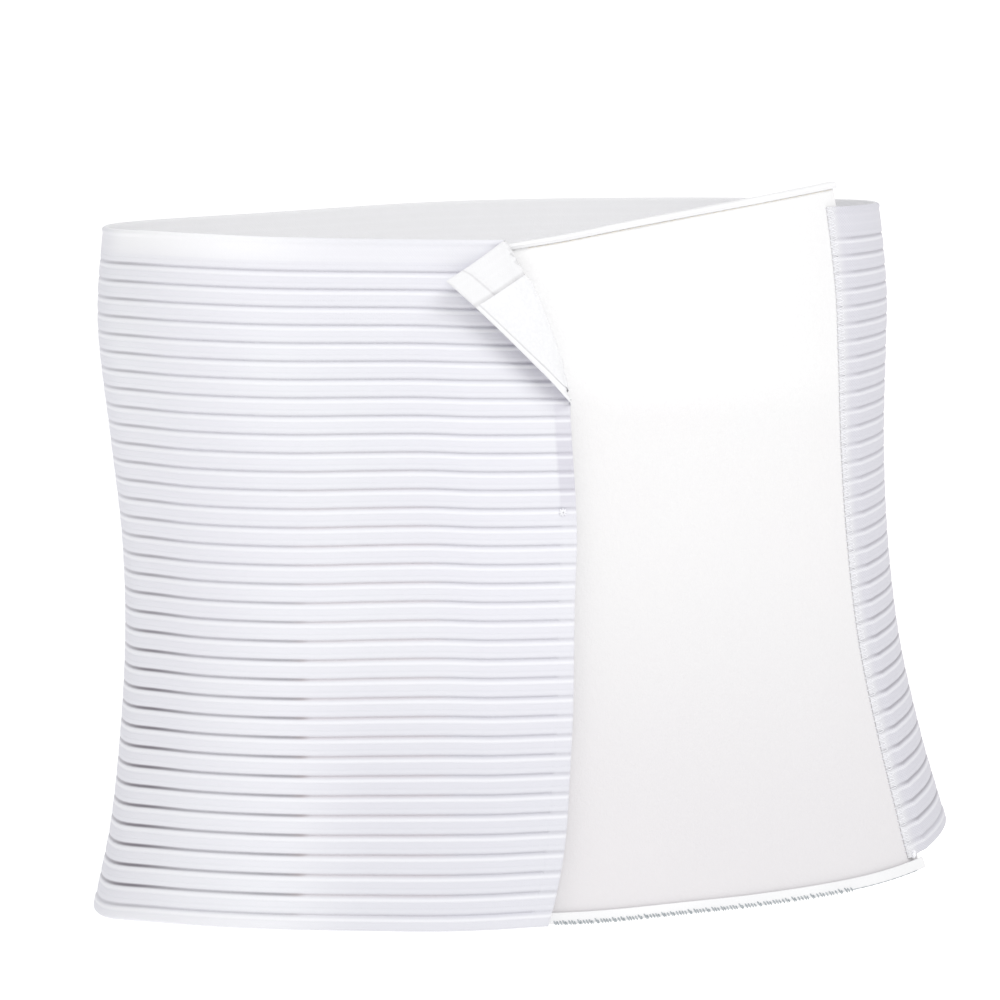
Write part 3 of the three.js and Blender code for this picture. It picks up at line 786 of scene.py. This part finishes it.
# The panel runs from the join back to its hidden end, between its two edge curves, and its level adds
# shallow bells for its dents
def panelFace(share, across, isOuter):
    farTop, farBottom = panelEdge(panel["farTurn"], "top"), panelEdge(panel["farTurn"], "bottom")
    guess = joinTurn(farTop + (farBottom - farTop) * share, "panel")[:, None]
    turn = guess + (panelStartTurn - guess) * across
    top, bottom = panelEdge(turn, "top") - panel["edgeGap"], panelEdge(turn, "bottom") + panel["edgeGap"]
    height = top + (bottom - top) * share[:, None]
    farTurn = joinTurn(height, "panel")
    turn = farTurn + (panelStartTurn - farTurn) * across
    inside = np.minimum(farTurn - turn, turn - panelStartTurn) * frontArc
    half = panel["thickness"] / 2
    full = roundedEdge(inside, half)
    dents = zip(*panel["dents"].values())
    dent = sum(out * bell(at, wide, turn) * bell(up, tall, height) for at, up, out, wide, tall in dents)
    calm = easeIn(*panel["dentsStart"], turn) * easeIn(*panel["dentsEnd"], turn)
    fromHem = np.minimum(top - height, height - bottom)
    puff = panel["puff"] * easeIn(0, panel["puffRun"], fromHem) - panel["puff"]
    level = panel["inner"] + half + dent * calm + ((half + puff) * full if isOuter else -half * full)
    uv = np.stack([turn * frontArc / 10, height / 10], -1)
    # mark for the painted light just under the top binding
    marks = {"underTop": easeIn(*panel["underTop"], panelEdge(turn, "top") - height)}
    return onBody(turn, height, level), uv, marks


def panelFinish():
    finish = Finish("loopFabricFinish", 0.95, sheen=0.35)
    height = finish.parts(finish.objectPlace())[2]
    cloud = finish.noise(11.0, 3.0)
    nap = finish.noise(520.0, 4.0)
    loops = finish.noise(1500.0)
    along, up = finish.clothPlace()
    foldDirection = foldAway / 10
    besideFold = along * foldDirection[0] + up * foldDirection[1] - foldStart @ foldAway / 100
    # painted light that lifts the shade beside the turned corner's fold and just under the top binding
    nearFold = besideFold.ease(1.6, 0.1) * up.ease(7.0, 9.5) + finish.mark("underTop")
    ground = finish.layered(
        (0.803, 0.8, 0.802),
        # painted shade: the panel darker towards the bottom, as under light from above
        (height.ease(0.07, -0.12), (0.72, 0.703, 0.717)),
        (cloud.ease(0.45, 0.75) * 0.25, (0.8, 0.77, 0.78)),
        (nearFold.least(1.0) * 0.55, (0.93, 0.93, 0.93)),
        (nap.ease(0.4, 0.7) * 0.06 + loops.ease(0.5, 0.7) * 0.04, (0.7, 0.68, 0.7)),
    )
    return finish.close(ground, nap * 0.00035 + loops * 0.0002 + cloud * 0.0008, 0.35)


def closurePanel():
    share, across = np.linspace(0, 1, panel["rows"]), rimmed(panel["columns"])
    outer, inner = (panelFace(share, across, isOuter) for isOuter in (True, False))
    return clothSheet("closurePanel", outer, inner, np.arange(len(share)), panelFinish())


loopPanel = closurePanel()
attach(loopPanel, "root")
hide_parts("closure_panel")
print("closure panel:", len(loopPanel.data.polygons), "faces")

binding = {
    "thickness": 1.0, "outer": 5.1, "topLeg": 2.6, "bottomLeg": 5.0,
    "pressed": 0.3,  # of the top tape's outer leg
    "thinned": 0.1, "swell": 0.06,
    "roundness": 1.2,  # of the fold's outer corners
    "lip": 0.42,  # the same of the tape's ends
    "innerCorner": 0.4, "cornerPoints": 6, "columns": 150,
    "ribPitch": 0.07,  # centimetres
}


def bindingFinish():
    finish = Finish("bindingFinish", 0.6, sheen=0.2)
    along = finish.clothPlace()[0]
    rib = (along * (2 * math.pi / binding["ribPitch"])).sine()
    grain = finish.noise(1100.0)
    ground = finish.clouded((0.82, 0.82, 0.83), (0.85, 0.85, 0.855), 30.0)
    ground = finish.mixed(grain.ease(0.45, 0.75) * 0.08, ground, (0.7, 0.69, 0.7))
    return finish.close(ground, rib * 0.00002 + grain * 0.00008, 0.6)


# Closed outline of a tape folded over an edge: distance into the panel and level, with quarter circles
# at its corners. The outer leg's end can be pressed to the panel and thinned.
def bindingOutline(leg, pressed, thinned):
    web, outer, swell = binding["thickness"], binding["outer"], binding["swell"]
    roundness, lip, inside = binding["roundness"], binding["lip"], binding["innerCorner"]
    quarter = np.linspace(0, np.pi / 2, binding["cornerPoints"])

    def corner(into, level, radius, start):
        angle = start + quarter
        return np.stack([into + radius * np.cos(angle), level + radius * np.sin(angle)], 1)

    return np.concatenate([
        corner(roundness, roundness, roundness, -np.pi),
        [[leg / 2, -swell]],
        corner(leg - lip, lip, lip, -np.pi / 2),
        corner(leg - lip, web - lip, lip, 0),
        [[web + inside, web], [web, web + inside]],
        [[web, outer - web - inside], [web + inside, outer - web]],
        corner(leg - lip, outer - web + lip - pressed, lip, -np.pi / 2),
        corner(leg - lip, outer - lip - pressed - thinned, lip, 0),
        [[leg / 2, outer + swell]],
        corner(roundness, outer - roundness, roundness, np.pi / 2),
    ])


def panelBinding(name, leg, side, finish):
    isTop = side == "top"
    outline = bindingOutline(leg, binding["pressed"] * isTop, binding["thinned"] * isTop)
    across = np.linspace(0, 1, binding["columns"])
    inwards = outline[:, :1] * (-1.0 if isTop else 1.0)
    farTurn = joinTurn(panelEdge(panel["farTurn"], side), "panel")
    turn = farTurn + (panelStartTurn - farTurn) * across
    farTurn = joinTurn(panelEdge(turn[None], side) + inwards, "panel")
    turn = farTurn + (panelStartTurn - farTurn) * across
    height = panelEdge(turn, side) + inwards
    points = onBody(turn, height, outline[:, 1:] + 0 * turn)
    rows, columns = points.shape[:2]
    number = np.arange(rows * columns).reshape(rows, columns)
    wrapped = np.concatenate([number, number[:1]])
    corners = [wrapped[:-1, :-1], wrapped[:-1, 1:], wrapped[1:, 1:], wrapped[1:, :-1]]
    faces = np.stack(corners, -1).reshape(-1, 4).tolist()
    faces += [number[::-1, 0].tolist(), number[:, -1].tolist()]
    faces = faces if isTop else [face[::-1] for face in faces]
    walked = np.cumsum(np.linalg.norm(np.diff(outline, axis=0, prepend=outline[:1]), axis=1))
    uv = np.stack([turn * frontArc / 10, walked[:, None] / 10 + 0 * turn], -1)
    return makeMesh(name, points, faces, uv, finish=finish)


tapeFinish = bindingFinish()
topBinding = panelBinding("panelTopBinding", binding["topLeg"], "top", tapeFinish)
bottomBinding = panelBinding("panelBottomBinding", binding["bottomLeg"], "bottom", tapeFinish)
for piece, node in ((topBinding, "panel_top_binding"), (bottomBinding, "panel_bottom_binding")):
    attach(piece, "root")
    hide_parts(node)
print("bindings:", len(topBinding.data.polygons), "and", len(bottomBinding.data.polygons), "faces")

# Stitches
threads = {
    # a thread is given by its radius and by how far it lifts off the cloth
    "join": {"pitch": 1.3, "turn": -300.0, "margin": 1.5, "reach": (-0.7, 2.6), "thread": 0.2, "lift": 0.5},
    "overlock": {
        "pitch": 1.15, "turns": (-8.5, 47.5), "height": 1.7, "slant": 0.5, "thread": 0.36, "lift": 0.25,
        "waves": ((7.3, 0.25), (17.1, 0.2)),  # of its unevenness: how often, and how large
    },
    "edge": {"pitch": 3.1, "turns": (47.5, 62.5), "thread": 0.22, "lift": 0.15},
    "warm": {"pitch": 3.4, "turns": (-6.0, 55.0), "run": 1.45, "gap": 0.4, "thread": 0.22, "lift": 0.12},
    "knot": {"reach": 1.7, "count": 4, "lift": 0.5},
}


def threadFinish(name, colour, shade):
    finish = Finish(name, 0.6, sheen=0.1)
    twist = finish.noise(1600.0)
    return finish.close(finish.mixed(twist.ease(0.35, 0.7), colour, shade), twist * 0.0001, 0.5)


# Direction out of the cloth at points of the body, worked out from two levels
def outwardsAt(turn, height, level):
    direction = onBody(turn, height, level + 1.0) - onBody(turn, height, level)
    return direction / np.linalg.norm(direction, axis=-1, keepdims=True)


def stitchRow(name, turns, heights, level, thread, lift, finish):
    points = onBody(turns, heights, level)
    outwards = outwardsAt(turns, heights, level)
    return stitches(name, points[:-1], points[1:], outwards[:-1], thread, lift, finish)


# Zigzag down the join, through the elastic's edge and the panel under it
def joinStitches(finish):
    row = threads["join"]
    top, bottom = elasticTop(row["turn"]) - row["margin"], elasticBottom(row["turn"]) + row["margin"]
    heights = np.linspace(top, bottom, int((top - bottom) / row["pitch"]) // 2 * 2)
    isOver = np.arange(len(heights)) % 2
    turns = joinTurn(heights, "elastic") + np.array(row["reach"])[isOver] / sideArc
    under = elastic["overPanel"] - elastic["sewnDrop"]
    level = np.where(isOver, under + elastic["sewnThickness"], panel["inner"] + panel["thickness"])
    return stitchRow("joinStitches", turns, heights, level, row["thread"], row["lift"], finish)


# Overlock loops over the bottom binding's lower edge: each slants down its outer face and goes under
def overlockStitches(finish):
    row = threads["overlock"]
    turns = np.arange(*row["turns"], row["pitch"] / frontArc)
    rough = sum(np.sin(turns * often) * size for often, size in row["waves"])
    top = panelEdge(turns, "bottom") + row["height"] + rough
    level = binding["outer"] + 0 * turns
    starts, outwards = onBody(turns, top, level), outwardsAt(turns, top, level)
    stopTurns = turns + row["slant"] + rough * 0.5
    stops = onBody(stopTurns, panelEdge(turns, "bottom") - 0.1, level - 0.2)
    return stitches("overlockStitches", starts, stops, outwards, row["thread"], row["lift"], finish)


# The overlock's thread running on along the binding's lower edge, to its end under the elastic
def edgeThread(finish):
    row = threads["edge"]
    turns = np.arange(*row["turns"], row["pitch"] / frontArc)
    heights = panelEdge(turns, "bottom") + 0.5
    level = binding["outer"] - 0.25 + 0 * turns
    return stitchRow("edgeThread", turns, heights, level, row["thread"], row["lift"], finish)


# Running stitches that hold the top binding down
def topBindingStitches(finish):
    row = threads["warm"]

    def place(turns):
        level = panel["inner"] + panel["thickness"] - 0.05 + 0 * turns
        return turns, panelEdge(turns, "top") - binding["topLeg"] - row["gap"], level

    turns = np.arange(*row["turns"], row["pitch"] / frontArc)
    starts, stops = onBody(*place(turns)), onBody(*place(turns + row["run"]))
    outwards = outwardsAt(*place(turns))
    return stitches("topBindingStitches", starts, stops, outwards, row["thread"], row["lift"], finish)


# Short knotted stitches at one place: a few threads that cross one another
def knot(name, turn, height, level, thread, finish):
    row, upwards = threads["knot"], np.array([0.0, 0.0, 1.0])
    angle = np.linspace(0, np.pi, row["count"], endpoint=False)[:, None]
    place = [np.full(row["count"], value) for value in (turn, height, level)]
    middle, outwards = onBody(*place), outwardsAt(*place)
    reach = row["reach"] * (np.cross(outwards, upwards) * np.cos(angle) + upwards * np.sin(angle))
    return stitches(name, middle - reach, middle + reach, outwards, thread, row["lift"], finish)


whiteThread = threadFinish("whiteThreadFinish", (0.87, 0.87, 0.89), (0.8, 0.8, 0.84))
greyThread = threadFinish("greyThreadFinish", (0.33, 0.36, 0.38), (0.5, 0.53, 0.55))
warmThread = threadFinish("warmThreadFinish", (0.92, 0.87, 0.78), (0.88, 0.84, 0.77))
cornerTurn = joinTurn(elasticBottom(joinMiddleTurn), "elastic") - fullTurn
corner = (cornerTurn + 0.8, elasticBottom(cornerTurn) + 1.6, elastic["overPanel"] + 0.9)
endHemPlace = (-0.6, 35.0, elastic["overHook"] + elastic["thickness"] + 0.1)
sewing = [
    (joinStitches(whiteThread), "ribbed_elastic"),
    (overlockStitches(greyThread), "edge_binding"),
    (edgeThread(greyThread), "edge_binding"),
    (topBindingStitches(warmThread), "edge_binding"),
    (knot("cornerKnot", *corner, 0.9, whiteThread), "ribbed_elastic"),
    (knot("endHemKnot", *endHemPlace, 0.5, whiteThread), "ribbed_elastic"),
]
for piece, slotName in sewing:
    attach(piece, "root")
print("stitches:", [len(piece.data.polygons) for piece, slotName in sewing])

# Studio
studio = {
    "floorHeight": -0.95, "floorSize": 14.0, "floorBend": 2.5, "floorGlow": 0.4,
    "cameraTarget": (0.004, 0.0, 0.034), "cameraAzimuth": -13.0, "cameraElevation": 3.0,
    "cameraDistance": 2.4, "lens": 202.68, "sensorWidth": 36.0, "viewDepth": 50.0,
    "worldStrength": 0.62,
}


# A pale floor that curves up into the back wall
def studioFloor():
    half, bend = studio["floorSize"] / 2, studio["floorBend"]
    angle = np.linspace(0, np.pi / 2, 24)
    y = np.concatenate([[-half], half - bend + bend * np.sin(angle), [half]])
    z = np.concatenate([[0], bend - bend * np.cos(angle), [half]]) + studio["floorHeight"]
    points = np.stack([np.stack([np.full_like(y, x), y, z], -1) for x in (-half, half)], 1)
    finish = Finish("floorFinish", 0.9)
    finish.shader.inputs["Base Color"].default_value = (0.95, 0.95, 0.95, 1)
    finish.shader.inputs["Emission Color"].default_value = (1, 1, 1, 1)
    finish.shader.inputs["Emission Strength"].default_value = studio["floorGlow"]
    faces = gridFaces(len(y), 2).tolist()
    return makeMesh("studioFloor", points / millimetre, faces, finish=finish.material)


floor = studioFloor()


def softBox(name, place, size, power, aim=(0.0, 0.0, 0.0)):
    light = bpy.data.lights.new(name, "AREA")
    light.shape = "DISK"
    light.size = size
    light.energy = power
    lamp = bpy.data.objects.new(name, light)
    away = np.array(place) - np.array(aim)
    lamp.location = place
    flat = math.hypot(away[0], away[1])
    lamp.rotation_euler = (math.atan2(flat, away[2]), 0, math.atan2(away[0], -away[1]))
    bpy.context.scene.collection.objects.link(lamp)


softBox("keyLight", (0.7, -1.45, 1.4), 1.1, 17.5)
softBox("fillLight", (-1.9, -0.8, 0.6), 1.4, 8.0)
softBox("topLight", (0.05, -0.75, 0.85), 0.6, 0.9, (0.0, -0.1, 0.1))

world = bpy.data.worlds.new("studioWorld")
world.use_nodes = True
world.node_tree.nodes["Background"].inputs["Color"].default_value = (1, 1, 1, 1)
world.node_tree.nodes["Background"].inputs["Strength"].default_value = studio["worldStrength"]
bpy.context.scene.world = world
bpy.context.scene.view_settings.view_transform = "Standard"
bpy.context.scene.view_settings.look = "None"

cameraData = bpy.data.cameras.new("studioCamera")
cameraData.lens = studio["lens"]
cameraData.sensor_width = studio["sensorWidth"]
cameraData.clip_end = studio["viewDepth"]
camera = bpy.data.objects.new("studioCamera", cameraData)
bpy.context.scene.collection.objects.link(camera)
azimuth, elevation = math.radians(studio["cameraAzimuth"]), math.radians(studio["cameraElevation"])
lookBack = np.array([
    math.sin(azimuth) * math.cos(elevation),
    -math.cos(azimuth) * math.cos(elevation),
    math.sin(elevation),
])
camera.location = np.array(studio["cameraTarget"]) + studio["cameraDistance"] * lookBack
camera.rotation_euler = (math.pi / 2 - elevation, 0, azimuth)
bpy.context.scene.camera = camera
print("studio ready")
